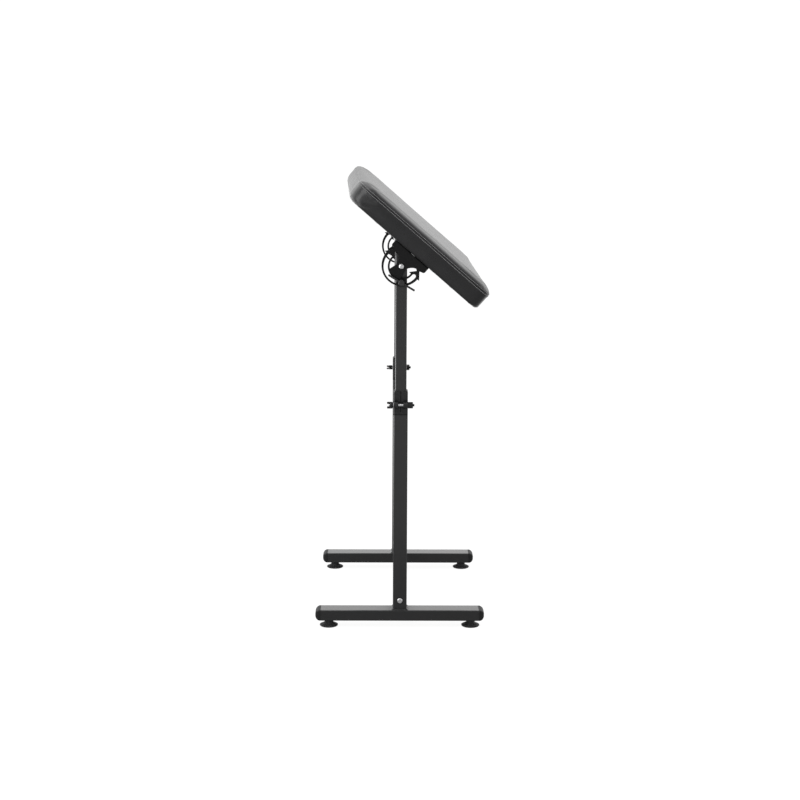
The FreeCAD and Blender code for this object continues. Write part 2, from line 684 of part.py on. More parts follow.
def tilt_plate(label, side):
    """A bent plate: flange under the pad, web to the pivot, and a slotted half ring about it."""
    piece = body(label)
    depth = f"stand_spread / 2 + {PLATE_IN}" if side == NEAR else f"-(stand_spread / 2 + {PLATE_OUT})"
    rim_end = f"sqrt({RIM_RADIUS} ^ 2 - (rim_rise - barb_level) ^ 2)"
    barb_reach = f"{RIM_RADIUS} + barb_length"
    shoulder = "plate_half_width - plate_corner"
    corners = [
        ("-plate_half_width", PAD_GAP),
        ("-plate_half_width", "shoulder_level + plate_corner", "plate_corner", 1),
        (f"-({shoulder})", "shoulder_level"),
        ("-strut_top", "strut_level"),
        (f"-({barb_reach})", "barb_level"),
        (f"-{rim_end}", "barb_level", RIM_RADIUS, 1),
        ("0", f"rim_rise - {RIM_RADIUS}", RIM_RADIUS, 1),
        (rim_end, "barb_level"),
        (barb_reach, "barb_level"),
        ("strut_top", "strut_level"),
        (shoulder, "shoulder_level", "plate_corner", 1),
        ("plate_half_width", "shoulder_level + plate_corner"),
        ("plate_half_width", PAD_GAP),
    ]
    plate_face(piece, corners, depth, "PartDesign::Pad")
    block(piece, ("2 * plate_half_width", "flange_depth", "plate_thickness"),
          ("0", outward(side, f"{PLATE_OUT} - flange_depth / 2"), f"{PAD_GAP} - plate_thickness"))
    outer = side * value(f"stand_spread / 2 + {PLATE_OUT}")
    top = value(PAD_GAP)
    soften(piece, "plate_thickness", lambda edge: along(edge, (1, 0, 0))
           and lies_at(edge, "y", outer) and lies_at(edge, "z", top))
    inner_face = outward(side, PLATE_IN)
    for sign in (-1, 1):
        window(piece, depth, sign)
        slot_end = (f"{sign} * sqrt(slot_radius ^ 2 - slot_over ^ 2)", inner_face, "slot_over")
        rod(piece, SLOT_WIDTH, "plate_thickness", slot_end, OUTWARD[side], cut=True)
        rod(piece, "pad_screw_diameter + 4 * plug_clear", "plate_thickness",
            (f"{sign} * pad_screw_reach", PAD_SCREW_DEPTH[side], f"{PAD_GAP} - plate_thickness"), cut=True)
    slot(piece, side)
    rod(piece, "screw_diameter + 2 * fit_clear", "plate_thickness", ("0", inner_face, "0"),
        OUTWARD[side], cut=True)
    on_pad(piece)


def slot(piece, side):
    """The arc-shaped slot that the lock screw travels in, turned about the pivot."""
    sketch = sketch_on(piece, "YZ_Plane")
    inner_face = outward(side, f"{PLATE_IN} - {OVER}")
    outer_face = outward(side, f"{PLATE_OUT} + {OVER}")
    inner_edge = f"-(slot_radius - {SLOT_WIDTH} / 2)"
    outer_edge = f"-(slot_radius + {SLOT_WIDTH} / 2)"
    outline(sketch, [(inner_face, inner_edge), (outer_face, inner_edge),
                     (outer_face, outer_edge), (inner_face, outer_edge)])
    groove = piece.newObject("PartDesign::Groove", "Slot")
    groove.Profile = sketch
    groove.ReferenceAxis = (sketch, ["H_Axis"])
    groove.Midplane = True
    groove.setExpression("Angle", bound("180 deg + 2 * asin(slot_over / slot_radius)"))


def plate_face(piece, corners, depth, kind):
    """Extrude an outline by the plate's thickness, as a Pad or a Pocket, from its place in depth."""
    sketch = sketch_on(piece, "XZ_Plane")
    sketch.setExpression("AttachmentOffset.Base.z", bound(depth))
    outline(sketch, corners)
    feature = piece.newObject(kind, "Plate")
    feature.Profile = sketch
    feature.setExpression("Length", bound("plate_thickness"))
    feature.Reversed = kind == "PartDesign::Pocket"


def window(piece, depth, sign):
    """One of the two cut-outs between the web and the half ring."""
    edge = f"sqrt({WINDOW_RADIUS} ^ 2 - barb_level ^ 2)"
    corners = [
        (f"{sign} * waist_half_width", "-waist_drop"),
        (f"{sign} * window_foot", f"-sqrt({WINDOW_RADIUS} ^ 2 - window_foot ^ 2)", WINDOW_RADIUS, sign),
        (f"{sign} * {edge}", "barb_level"),
        (f"{sign} * ({edge} - barb_ledge)", "barb_level"),
        (f"{sign} * window_shoulder", "window_shoulder_level"),
        (f"{sign} * window_top", "window_top_level", "window_arch", sign),
    ]
    doc.recompute()
    before = piece.Tip.Shape.Volume
    plate_face(piece, corners, depth, "PartDesign::Pocket")
    doc.recompute()
    if piece.Tip.Shape.Volume >= before:
        raise RuntimeError(f"the window of {piece.Label} cuts nothing")


def pad_fixings():
    """The screws up through each flange, with a tee nut on the board for each of them."""
    screws = body("pad_screws")
    nuts = body("pad_tee_nuts")
    under = f"{PAD_GAP} - plate_thickness"
    barrel = "board_thickness - tee_short"
    for side in SIDES.values():
        for sign in (-1, 1):
            across = f"{sign} * pad_screw_reach"
            depth = PAD_SCREW_DEPTH[side]
            crest = f"{under} - pad_screw_head_height"
            rod(screws, "pad_screw_head", "pad_screw_head_height", (across, depth, crest))
            low = value(crest)
            soften(screws, "pad_screw_round", lambda edge: lies_at(edge, "z", low)
                   and abs(edge.BoundBox.Center.x - value(across)) < TOUCH
                   and abs(edge.BoundBox.Center.y - value(depth)) < TOUCH)
            rod(screws, "pad_screw_diameter", f"{BOARD_TOP} - ({under})", (across, depth, under))
            start = (across, depth, f"{BOARD_TOP} - ({barrel})")
            rod(nuts, "tee_barrel", barrel, start)
            rod(nuts, "tee_flange", "tee_thickness", (across, depth, BOARD_TOP))
            rod(nuts, "pad_screw_diameter + 2 * fit_clear", f"{barrel} + tee_thickness", start, cut=True)
    on_pad(screws)
    on_pad(nuts)
    return screws, nuts


def askew(shape):
    """A cushion shape turned about the cushion's middle, since it sits a little turned on its plates."""
    middle = Vector(value("pad_offset"), 0, 0)
    turn = Placement(Vector(), Rotation(Vector(0, 0, 1), value("pad_turn")), middle)
    return shape.transformed(turn.toMatrix(), copy=True)


def rounded_loop(half_width, half_length, corner, height):
    """A rounded rectangle about the pad's middle, as one wire of lines and quarter arcs."""
    middle = value("pad_offset")
    quarters = []
    for sign_x, sign_y, start in ((1, 1, 0), (-1, 1, 90), (-1, -1, 180), (1, -1, 270)):
        centre = Vector(middle + sign_x * (half_width - corner), sign_y * (half_length - corner), height)
        turns = [Rotation(Vector(0, 0, 1), start + angle) for angle in (0, 45, 90)]
        quarters.append([centre + turn.multVec(Vector(corner, 0, 0)) for turn in turns])
    edges = []
    for i, (first, crest, last) in enumerate(quarters):
        edges.append(Part.Arc(first, crest, last).toShape())
        edges.append(Part.LineSegment(last, quarters[(i + 1) % 4][0]).toShape())
    return Part.Wire(edges)


def cushion(skin):
    """The pad's outer form, drawn in by a skin: bowed sides, a rounded shoulder and a crowned top."""
    half_width = value("pad_width") / 2
    half_length = value(PAD_LENGTH) / 2
    seam = value("side_height")
    bow = value("side_bow")
    shoulder = value("pad_shoulder")
    stations = [(skin, bow), (seam / 2, 0), (seam - skin, bow)]
    for angle in SHOULDER_ANGLES:
        turn = math.radians(angle)
        stations.append((seam - skin + shoulder * math.sin(turn), bow + shoulder * (1 - math.cos(turn))))
    edge = bow + shoulder
    for share in CROWN_SHARES:
        rise = value("pad_crown") * (1 - (1 - share) ** 2)
        stations.append((seam + shoulder - skin + rise, edge + share * (half_width - edge)))
    loops = []
    for height, inset in stations:
        across = half_width - skin - inset
        lengthwise = half_length - skin - inset
        corner = value("pad_corner") * across / half_width
        loops.append(rounded_loop(across, lengthwise, corner, value(PAD_GAP) + height))
    return Part.makeLoft(loops, True, True)


def slab(half_width, half_length, low, high):
    """A level box about the pad's middle."""
    return Part.makeBox(2 * half_width, 2 * half_length, high - low,
                        Vector(value("pad_offset") - half_width, -half_length, low))


def shaped(label, shape):
    """A sub-part whose form is worked out here, seated on the tilted pad."""
    piece = doc.addObject("Part::Feature", label)
    piece.Label = label
    piece.Shape = shape
    on_pad(piece)


def staple():
    """One wire staple at the origin: a crown that lies under the hem and two legs up into the board."""
    wire = value("staple_wire")
    crown = value("staple_crown")
    leg = value("cover_thickness + staple_leg")
    shape = Part.makeBox(crown, wire, wire, Vector(-crown / 2, -wire / 2, -wire))
    for across in (-crown / 2, crown / 2 - wire):
        shape = shape.fuse(Part.makeBox(wire, wire, leg, Vector(across, -wire / 2, 0)))
    return shape.removeSplitter()


def staple_rows():
    """The staples along the hem's four sides."""
    pitch = value("staple_pitch")
    shapes = []
    for reach, other, lengthwise in ((PAD_LENGTH, "pad_width", False), ("pad_width", PAD_LENGTH, True)):
        edge = value(f"{reach} / 2 - hem_width / 2")
        count = int(value(f"{other} - 2 * (hem_width + pad_corner)") / pitch)
        for sign in (-1, 1):
            for i in range(count + 1):
                run = (i - count / 2) * pitch
                spot = Vector(sign * edge, run, 0) if lengthwise else Vector(run, sign * edge, 0)
                shape = staple()
                shape.rotate(Vector(), Vector(0, 0, 1), 90 if lengthwise else 0)
                shape.translate(spot + Vector(value("pad_offset"), 0, value(PAD_GAP)))
                shapes.append(shape)
    return Part.makeCompound(shapes)


def pad():
    """Screws and tee nuts, backing cloth, board, foam, staples and the cover's two panels."""
    screws, nuts = pad_fixings()
    doc.recompute()
    fixings = screws.Tip.Shape.fuse(nuts.Tip.Shape)
    wires = askew(staple_rows())
    base = value(PAD_GAP)
    skin = value("cover_thickness")
    seam = base + value("side_height")
    half_width = value("pad_width / 2")
    half_length = value(f"{PAD_LENGTH} / 2")
    hem = value("hem_width")
    inset = value("board_inset")
    bottom = rounded_loop(half_width - inset, half_length - inset, value("pad_corner") - inset, base + skin)
    board = askew(Part.Face(bottom).extrude(Vector(0, 0, value("board_thickness"))))
    inner = askew(cushion(skin))
    shell = askew(cushion(0)).cut(inner)
    cloth = askew(slab(half_width - hem, half_length - hem, base, base + skin))
    below = askew(slab(half_width + OVER, half_length + OVER, base - OVER, seam))
    shaped("pad_backing_cloth", cloth.cut(fixings))
    shaped("pad_side_cover", shell.cut(cloth).common(below).cut(wires))
    shaped("pad_top_cover", shell.cut(below))
    shaped("pad_board", board.cut(fixings).cut(wires))
    shaped("pad_foam", inner.cut(board).cut(fixings))
    shaped("pad_staples", wires)


def main():
    feet()
    lower_frame()
    for name, side in SIDES.items():
        collar(f"clamp_collar_{name}", side)
        tilt_plate(f"tilt_plate_{name}", side)
    clamp_screws()
    upper_tubes()
    pivots()
    lock_screws()
    pad()
    doc.recompute()
    for item in doc.Objects:
        if "Invalid" in item.State or "Error" in item.State:
            raise RuntimeError(f"{item.Label} failed: {item.State}")
    pieces = [o for o in doc.Objects if o.TypeId in ("PartDesign::Body", "Part::Feature")]
    for piece in pieces:
        if piece.Shape.isNull() or not piece.Shape.isValid() or not piece.Shape.Solids:
            raise RuntimeError(f"{piece.Label} has no valid solid")
    os.makedirs("parts", exist_ok=True)
    for piece in pieces:
        piece.Shape.exportStep(f"parts/{piece.Label}.step")
    print(len(pieces), "pieces")


main()
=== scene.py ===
"""Dresses the arm rest stand: paint, plastic, rubber and steel finishes, the sewn pad and its backing
cloth, the welds, and a plain studio. Metres, +Z up, in the frame's own place.
"""
import json
import math

import bpy
from bpy.props import FloatProperty, FloatVectorProperty, PointerProperty
from bpy.types import Operator, Panel, PropertyGroup
from mathutils import Matrix, Vector, noise


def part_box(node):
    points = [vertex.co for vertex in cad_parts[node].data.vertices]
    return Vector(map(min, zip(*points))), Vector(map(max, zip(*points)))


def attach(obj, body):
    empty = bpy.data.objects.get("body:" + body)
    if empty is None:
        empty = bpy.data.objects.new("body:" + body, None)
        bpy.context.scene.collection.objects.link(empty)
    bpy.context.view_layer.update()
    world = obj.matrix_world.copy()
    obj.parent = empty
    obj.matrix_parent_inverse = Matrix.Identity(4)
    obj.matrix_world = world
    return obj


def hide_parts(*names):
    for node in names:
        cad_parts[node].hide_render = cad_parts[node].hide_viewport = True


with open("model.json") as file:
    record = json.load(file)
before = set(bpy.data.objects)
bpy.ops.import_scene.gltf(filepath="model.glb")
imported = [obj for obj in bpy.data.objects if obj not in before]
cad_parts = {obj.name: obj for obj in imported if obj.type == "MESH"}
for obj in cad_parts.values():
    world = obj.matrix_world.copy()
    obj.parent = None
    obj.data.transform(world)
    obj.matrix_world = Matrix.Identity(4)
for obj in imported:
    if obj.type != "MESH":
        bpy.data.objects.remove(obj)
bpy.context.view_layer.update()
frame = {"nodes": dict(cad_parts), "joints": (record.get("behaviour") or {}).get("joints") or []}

bl_info = {
    "name": "Arm Rest Stand",
    "version": (1, 0, 0),
    "blender": (4, 5, 0),
    "location": "3D View > Sidebar > Stand",
    "description": "Dresses a padded arm rest stand with its finishes, sewing and welds",
    "category": "Object",
}

MM = 0.001
SIDES = ("near", "far")
HANDS = ("left", "right")
JOINTS = {joint["name"]: joint for joint in frame["joints"]}
PIVOT = Vector(JOINTS["pad_tilt"]["pos_m"])
TILT = math.radians(41)
PAD_UP = Vector((math.sin(TILT), 0, math.cos(TILT)))
# A collar is as wide as its post, whose own box has the weld in it
POST_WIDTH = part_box("clamp_collar_near")[1].x * 2
# The way to the middle of each soft box in the mirrored room: sideways, back and up
SOFTBOX_WAY = (0.81, 0.46, 0.36)
# Each lamp: its place, the point it faces, its width, and the studio setting of its power
LAMPS = {
    "overhead": ((0, 0.3, 3.2), (0, 0, 0.7), 2.6, "key"),
    "left": ((-2.3, -1.9, 2.1), (0, 0, 1.0), 1.6, "left"),
    "front": ((-1.4, -3.0, 1.9), (0, 0, 0.7), 2.2, "fill"),
}


def reach(node, origin, way):
    """How far a node reaches from a point in a direction."""
    return max((corner.co - origin).dot(way) for corner in frame["nodes"][node].data.vertices)


class PadSizes(PropertyGroup):
    """What a maker would change on the pad."""
    tilt: FloatProperty(name="Tilt", description="How far the pad is turned from level", subtype="ANGLE",
                        default=TILT)
    width: FloatProperty(name="Width", description="Across the pad", unit="LENGTH", default=0.42)
    length: FloatProperty(name="Length", description="Along the pad", unit="LENGTH", default=0.6)
    offset: FloatProperty(name="Offset", description="Pad's middle from the pivot, across", unit="LENGTH",
                          default=-0.01)
    turn: FloatProperty(name="Turn", description="Pad turned on its plates", subtype="ANGLE",
                        default=math.radians(2.6))
    gap: FloatProperty(name="Gap", description="Pad's underside above the pivot", unit="LENGTH",
                       default=reach("tilt_plate_near", PIVOT, PAD_UP))
    thickness: FloatProperty(name="Thickness", description="At the edge of the top", unit="LENGTH",
                             default=0.06)
    seam: FloatProperty(name="Seam", description="Height of the seam above the underside", unit="LENGTH",
                        default=0.045)
    shoulder: FloatProperty(name="Shoulder", description="Radius round the top", unit="LENGTH",
                            default=0.0135)
    fall: FloatProperty(name="Fall", description="How far the top falls at its two ends", unit="LENGTH",
                        default=0.0025)
    bulge: FloatProperty(name="Bulge", description="How far the upper end stands proud", unit="LENGTH",
                         default=0.003)
    fade: FloatProperty(name="Fade", description="How far in from the ends the top falls", unit="LENGTH",
                        default=0.016)
    corner: FloatProperty(name="Corner", description="Corner radius in plan", unit="LENGTH", default=0.042)
    hem: FloatProperty(name="Hem", description="Width of the hem under the board", unit="LENGTH",
                       default=0.034)
    voxel: FloatProperty(name="Voxel", description="Size of the cloth's faces", unit="LENGTH",
                         default=0.0055)
    pressure: FloatProperty(name="Pressure", description="How hard the foam fills the cover", default=2.5)
    swell: FloatProperty(name="Swell", description="How far the filling may push the cover", unit="LENGTH",
                         default=0.0021)
    stitch: FloatProperty(name="Stitch", description="Length of one stitch with its gap", unit="LENGTH",
                          default=0.0042)
    row: FloatProperty(name="Row", description="Each stitched row's distance from the seam", unit="LENGTH",
                       default=0.0029)


class WeldSizes(PropertyGroup):
    """The bead round the foot of each post."""
    spread: FloatProperty(name="Spread", description="How much wider than the post its line runs",
                          unit="LENGTH", default=0.0025)
    rise: FloatProperty(name="Rise", description="Height of its line above the foot bar", unit="LENGTH",
                        default=0.0014)
    corner: FloatProperty(name="Corner", description="Radius at the post's corners", unit="LENGTH",
                          default=0.005)
    pitch: FloatProperty(name="Pitch", description="From one ripple to the next", unit="LENGTH",
                         default=0.00135)


class Finishes(PropertyGroup):
    """Colours, as they are seen in plain light."""
    paint: FloatVectorProperty(name="Paint", description="Powder coat on the steel", subtype="COLOR",
                               default=(0.012, 0.012, 0.0126))
    # The plate colour is darker than the paint: partly a matt coat, partly painted shade for the plates under
    # the pad
    plate: FloatVectorProperty(name="Plate", description="Powder coat on the tilt plates", subtype="COLOR",
                               default=(0.0055, 0.0055, 0.0058))
    plastic: FloatVectorProperty(name="Plastic", description="Moulded nylon", subtype="COLOR",
                                 default=(0.014, 0.014, 0.0146))
    rubber: FloatVectorProperty(name="Rubber", description="Suction feet", subtype="COLOR",
                                default=(0.028, 0.028, 0.029))
    steel: FloatVectorProperty(name="Steel", description="Zinc plated fasteners", subtype="COLOR",
                               default=(0.88, 0.88, 0.89))
    leather: FloatVectorProperty(name="Leather", description="The pad's vinyl leather", subtype="COLOR",
                                 default=(0.015, 0.015, 0.0158))
    # The thread is a grey lighter than the leather: partly its own colour, partly painted highlight for the
    # shine of the stitches
    thread: FloatVectorProperty(name="Thread", description="Sewing thread", subtype="COLOR",
                                default=(0.42, 0.42, 0.425))
    cloth: FloatVectorProperty(name="Cloth", description="Backing cloth", subtype="COLOR",
                               default=(0.02, 0.02, 0.021))


class Studio(PropertyGroup):
    """The camera and the light."""
    lens: FloatProperty(name="Lens", description="Focal length in millimetres on a 36 mm sensor",
                        default=72.0)
    across: FloatProperty(name="Across", description="Camera's place across the pad", unit="LENGTH",
                          default=-0.04141)
    distance: FloatProperty(name="Distance", description="Camera in front of the middle", unit="LENGTH",
                            default=4.1613)
    height: FloatProperty(name="Height", description="Camera above the floor", unit="LENGTH", default=1.3113)
    pitch: FloatProperty(name="Pitch", description="Turned down from level", subtype="ANGLE", default=0.18449)
    yaw: FloatProperty(name="Yaw", description="Turned to the right", subtype="ANGLE", default=0.01014)
    roll: FloatProperty(name="Roll", description="Turned about the view", subtype="ANGLE", default=0.00504)
    key: FloatProperty(name="Key", description="Power of the large lamp overhead, in watts", default=30.0)
    left: FloatProperty(name="Left", description="Power of the soft box on the left, in watts", default=26.0)
    side: FloatProperty(name="Side", description="How bright the floor on the left is mirrored", default=1.9)
    fill: FloatProperty(name="Fill", description="Power of the lamp in front, in watts", default=9.0)
    surround: FloatProperty(name="Surround", description="Light of the room on dull surfaces", default=0.55)
    front: FloatProperty(name="Front", description="How bright the room in front is, as surfaces mirror it",
                         default=0.32)
    far: FloatProperty(name="Far", description="How much brighter the far floor in front is mirrored",
                       default=0.18)
    back: FloatProperty(name="Back", description="How bright the room behind is, as surfaces mirror it",
                        default=1.1)
    floor: FloatProperty(name="Floor", description="How bright the floor behind is, as surfaces mirror it",
                         default=1.22)
    softbox: FloatProperty(name="Soft Box", description="How bright the soft boxes at the sides are mirrored",
                           default=1.5)


# Mesh tools

def only(piece):
    """Select one piece alone and make it active."""
    if bpy.context.object and bpy.context.object.mode != "OBJECT":
        bpy.ops.object.mode_set(mode="OBJECT")
    bpy.ops.object.select_all(action="DESELECT")
    piece.select_set(True)
    bpy.context.view_layer.objects.active = piece


def named(name):
    """Name the object that was just added, with its mesh."""
    piece = bpy.context.object
    piece.name = name
    piece.data.name = name
    return piece


def edit(piece, kind, test):
    """Go into edit mode with the edges or points that the test picks selected."""
    only(piece)
    mesh = piece.data
    for group in (mesh.vertices, mesh.edges, mesh.polygons):
        group.foreach_set("select", [False] * len(group))
    chosen = {"VERT": mesh.vertices, "EDGE": mesh.edges}[kind]
    chosen.foreach_set("select", [bool(test(element)) for element in chosen])
    bpy.context.tool_settings.mesh_select_mode = (kind == "VERT", kind == "EDGE", False)
    bpy.ops.object.mode_set(mode="EDIT")


def done():
    """Leave edit mode."""
    bpy.ops.object.mode_set(mode="OBJECT")


def settle(piece):
    """Put the object's place, turn and size into its mesh."""
    only(piece)
    bpy.ops.object.transform_apply(location=True, rotation=True, scale=True)
    return piece


def modify(piece, kind, **settings):
    """Add a modifier and apply it."""
    only(piece)
    modifier = piece.modifiers.new(kind.title(), kind)
    for name, setting in settings.items():
        setattr(modifier, name, setting)
    bpy.ops.object.modifier_apply(modifier=modifier.name)


def smooth(piece, angle):
    """Shade a piece smooth except over edges sharper than an angle in degrees."""
    only(piece)
    bpy.ops.object.shade_smooth_by_angle(angle=math.radians(angle))
    return piece


def ends(piece, edge):
    """The two points of an edge."""
    points = piece.data.vertices
    return points[edge.vertices[0]].co, points[edge.vertices[1]].co


# Materials

class Term:
    """A value inside a material, on which Python's operators add Math nodes."""

    def __init__(self, recipe, socket):
        self.recipe = recipe
        self.socket = socket

    def __add__(self, other):
        return self.recipe.math("ADD", self, other)

    def __radd__(self, other):
        return self.recipe.math("ADD", other, self)

    def __sub__(self, other):
        return self.recipe.math("SUBTRACT", self, other)

    def __rsub__(self, other):
        return self.recipe.math("SUBTRACT", other, self)

    def __mul__(self, other):
        return self.recipe.math("MULTIPLY", self, other)

    def __rmul__(self, other):
        return self.recipe.math("MULTIPLY", other, self)

    def at_least(self, other):
        """The larger of two values."""
        return self.recipe.math("MAXIMUM", self, other)

    def step(self, low, high):
        """0 below low and 1 above high, with a smooth rise between."""
        return self.recipe.node("ShaderNodeMapRange", {"interpolation_type": "SMOOTHSTEP"},
                                {"Value": self, "From Min": low, "From Max": high})


class Recipe:
    """A node material, or the world, that is being put together."""

    def __init__(self, name, world=False):
        self.owner = bpy.data.worlds.new(name) if world else bpy.data.materials.new(name)
        self.owner.use_nodes = True
        self.tree = self.owner.node_tree
        self.tree.nodes.clear()
        self.place = self.node("ShaderNodeTexCoord", output="Generated" if world else "Object")

    def node(self, kind, settings=None, inputs=None, output=0):
        """Any node: its settings first, then values or links for its sockets."""
        made = self.tree.nodes.new(kind)
        for name, setting in (settings or {}).items():
            setattr(made, name, setting)
        for name, given in (inputs or {}).items():
            socket = made.inputs[name]
            if isinstance(given, Term):
                self.tree.links.new(given.socket, socket)
            else:
                socket.default_value = given
        return None if output is None else Term(self, made.outputs[output])

    def math(self, operation, first, second):
        """A Math node on two values."""
        return self.node("ShaderNodeMath", {"operation": operation}, {0: first, 1: second})

    def noise(self, size, detail, stretch=None, rough=0.5):
        """Soft noise whose lumps are about size metres across, from 0 to 1."""
        place = self.stretched(stretch) if stretch else self.place
        return self.node("ShaderNodeTexNoise", {"normalize": True},
                         {"Vector": place, "Scale": 1 / size, "Detail": detail, "Roughness": rough}, "Fac")

    def stretched(self, factors):
        """The place, with each axis drawn out or squeezed."""
        return self.node("ShaderNodeMapping", {"vector_type": "POINT"},
                         {"Vector": self.place, "Scale": factors})

    def cells(self, size, feature="F1", warp=0.0):
        """Distance in a pattern of cells about size metres across."""
        place = self.place
        if warp:
            wander = self.node("ShaderNodeTexNoise", {}, {"Vector": self.place, "Scale": 0.5 / size}, "Color")
            shift = self.node("ShaderNodeVectorMath", {"operation": "SCALE"}, {0: wander, "Scale": warp})
            place = self.node("ShaderNodeVectorMath", {"operation": "ADD"}, {0: self.place, 1: shift})
        return self.node("ShaderNodeTexVoronoi", {"feature": feature}, {"Vector": place, "Scale": 1 / size},
                         "Distance")

    def attribute(self, name):
        """A number that the mesh carries at its points."""
        return self.node("ShaderNodeAttribute", {"attribute_name": name}, output="Fac")

    def mix(self, share, first, second):
        """A colour between two colours."""
        return self.node("ShaderNodeMix", {"data_type": "RGBA", "clamp_factor": True},
                         {0: share, 6: first, 7: second}, 2)

    def bump(self, height, depth, strength, under=None):
        """A bump of a height from 0 to 1 over a depth in metres."""
        inputs = {"Height": height, "Distance": depth, "Strength": strength}
        if under:
            inputs["Normal"] = under
        return self.node("ShaderNodeBump", {}, inputs)

    def edges(self, radius):
        """The rounded normal near sharp edges, and a mask that is 1 on them."""
        rounded = self.node("ShaderNodeBevel", {"samples": 6}, {"Radius": radius})
        plain = self.node("ShaderNodeNewGeometry", output="Normal")
        likeness = self.node("ShaderNodeVectorMath", {"operation": "DOT_PRODUCT"},
                             {0: rounded, 1: plain}, "Value")
        return rounded, (1 - likeness).step(0.02, 0.25)

    def crevice_shade(self, distance):
        """A mask that is 1 where other surfaces crowd in within a distance, for painted shade in crevices."""
        clear = self.node("ShaderNodeAmbientOcclusion", {"samples": 6}, {"Distance": distance}, "AO")
        return 1 - clear.step(0.3, 0.95)

    def surface(self, shadow=0.0, **inputs):
        """End the material in a Principled shader, mixed by a mask towards a near-black dull shader: painted
        shade where it lies in shadow.
        """
        sockets = {}
        for name, given in inputs.items():
            sockets[name.replace("_", " ").title().replace("Ior", "IOR")] = given
        lit = self.node("ShaderNodeBsdfPrincipled", {"distribution": "MULTI_GGX"}, sockets)
        # Painted shade: where the mask is 1, a near-black dull shader takes the place of the lit surface
        return self.end(self.blend(shadow, lit, self.dull(grey(0.003))))

    def dull(self, colour):
        """A shader with no gloss."""
        return self.node("ShaderNodeBsdfDiffuse", {}, {"Color": colour})

    def glow(self, strength):
        """A shader that gives white light."""
        return self.node("ShaderNodeEmission", {}, {"Color": grey(1.0), "Strength": strength})

    def blend(self, share, first, second):
        """A shader between two shaders."""
        return self.node("ShaderNodeMixShader", {}, {0: share, 1: first, 2: second})

    def ray(self, kind):
        """1 where the light path is of one kind: Camera, Glossy or Transmission."""
        return self.node("ShaderNodeLightPath", output=f"Is {kind} Ray")

    def end(self, shader, kind="Material"):
        """Send a shader to the output."""
        self.node(f"ShaderNodeOutput{kind}", {}, {"Surface": shader}, None)
        return self.owner

    def axis(self, name):
        """One part of the place: X, Y or Z."""
        return self.node("ShaderNodeSeparateXYZ", {}, {0: self.place}, name)


def grey(level):
    """An opaque grey for a socket."""
    return (level, level, level, 1.0)


def opaque(colour, factor=1.0):
    """A colour for a socket, made lighter or darker by a factor."""
    return (*[min(1.0, part * factor) for part in colour], 1.0)


def powder_coat(name, colour, sheen, lacquer):
    """Satin black powder coat: fine orange peel, rounded edges that have rubbed a little brighter, and
    painted shade in crevices.
    """
    recipe = Recipe(name)
    rounded, worn = recipe.edges(0.7 * MM)
    cloud = recipe.noise(35 * MM, 3)
    speck = recipe.noise(0.5 * MM, 1)
    peel = recipe.noise(1.6 * MM, 2)
    shade = recipe.mix(cloud * 0.7 + speck * 0.3, opaque(colour, 0.8), opaque(colour, 1.3))
    shade = recipe.mix(worn * (cloud + 0.2) * 0.6, shade, opaque(colour, 3.2))
    rough = 0.26 + cloud * 0.06 + speck * 0.05 - worn * 0.04
    normal = recipe.bump(peel * 0.8 + speck * 0.2, 0.03 * MM, 0.5, under=rounded)
    return recipe.surface(shadow=recipe.crevice_shade(6 * MM) * 0.8, base_color=shade, roughness=rough,
                          normal=normal, specular_ior_level=sheen, coat_weight=lacquer, coat_roughness=0.09)


def moulded_plastic(name, colour, matt, sheen):
    """Black nylon with a fine spark-eroded grain, slightly shinier worn edges, and painted shade in crevices.
    """
    recipe = Recipe(name)
    rounded, worn = recipe.edges(0.5 * MM)
    cloud = recipe.noise(18 * MM, 2)
    grain = recipe.cells(0.45 * MM)
    flow = recipe.noise(9 * MM, 3, stretch=(1, 1, 0.25))
    shade = recipe.mix(cloud, opaque(colour, 0.8), opaque(colour, 1.3))
    shade = recipe.mix(worn * 0.5, shade, opaque(colour, 2.6))
    rough = matt + cloud * 0.08 + flow * 0.05 - worn * 0.1
    normal = recipe.bump(grain, 0.06 * MM, 0.45, under=rounded)
    return recipe.surface(shadow=recipe.crevice_shade(8 * MM) * 0.9, base_color=shade, roughness=rough,
                          normal=normal, specular_ior_level=sheen)


def soft_rubber(colour):
    """Matt rubber with a little bloom and dust towards the floor."""
    recipe = Recipe("soft_rubber")
    bloom = recipe.noise(7 * MM, 4).step(0.4, 0.8)
    height = recipe.axis("Z")
    dust = (1 - height.step(0.5 * MM, 5 * MM)) * bloom
    shade = recipe.mix(bloom, opaque(colour), opaque(colour, 1.7))
    shade = recipe.mix(dust * 0.6, shade, (0.09, 0.088, 0.085, 1))
    normal = recipe.bump(recipe.noise(0.6 * MM, 2), 0.05 * MM, 0.5)
    return recipe.surface(base_color=shade, roughness=0.62 + bloom * 0.12, normal=normal,
                          specular_ior_level=0.35)


def zinc_steel(colour):
    """Bright zinc plate: soft brushing, faint spangle and darker blushes."""
    recipe = Recipe("zinc_steel")
    rounded, worn = recipe.edges(0.25 * MM)
    spangle = recipe.cells(1.8 * MM, warp=0.0012)
    brushed = recipe.noise(0.5 * MM, 3, stretch=(1, 0.08, 1))
    blush = recipe.noise(5 * MM, 3).step(0.45, 0.75)
    shade = recipe.mix(spangle, opaque(colour), opaque(colour, 0.9))
    shade = recipe.mix(blush * 0.4, shade, opaque(colour, 0.7))
    rough = 0.2 + brushed * 0.12 + blush * 0.1 + worn * 0.05
    normal = recipe.bump(brushed, 0.02 * MM, 0.35, under=rounded)
    return recipe.surface(base_color=shade, metallic=1.0, roughness=rough, normal=normal)


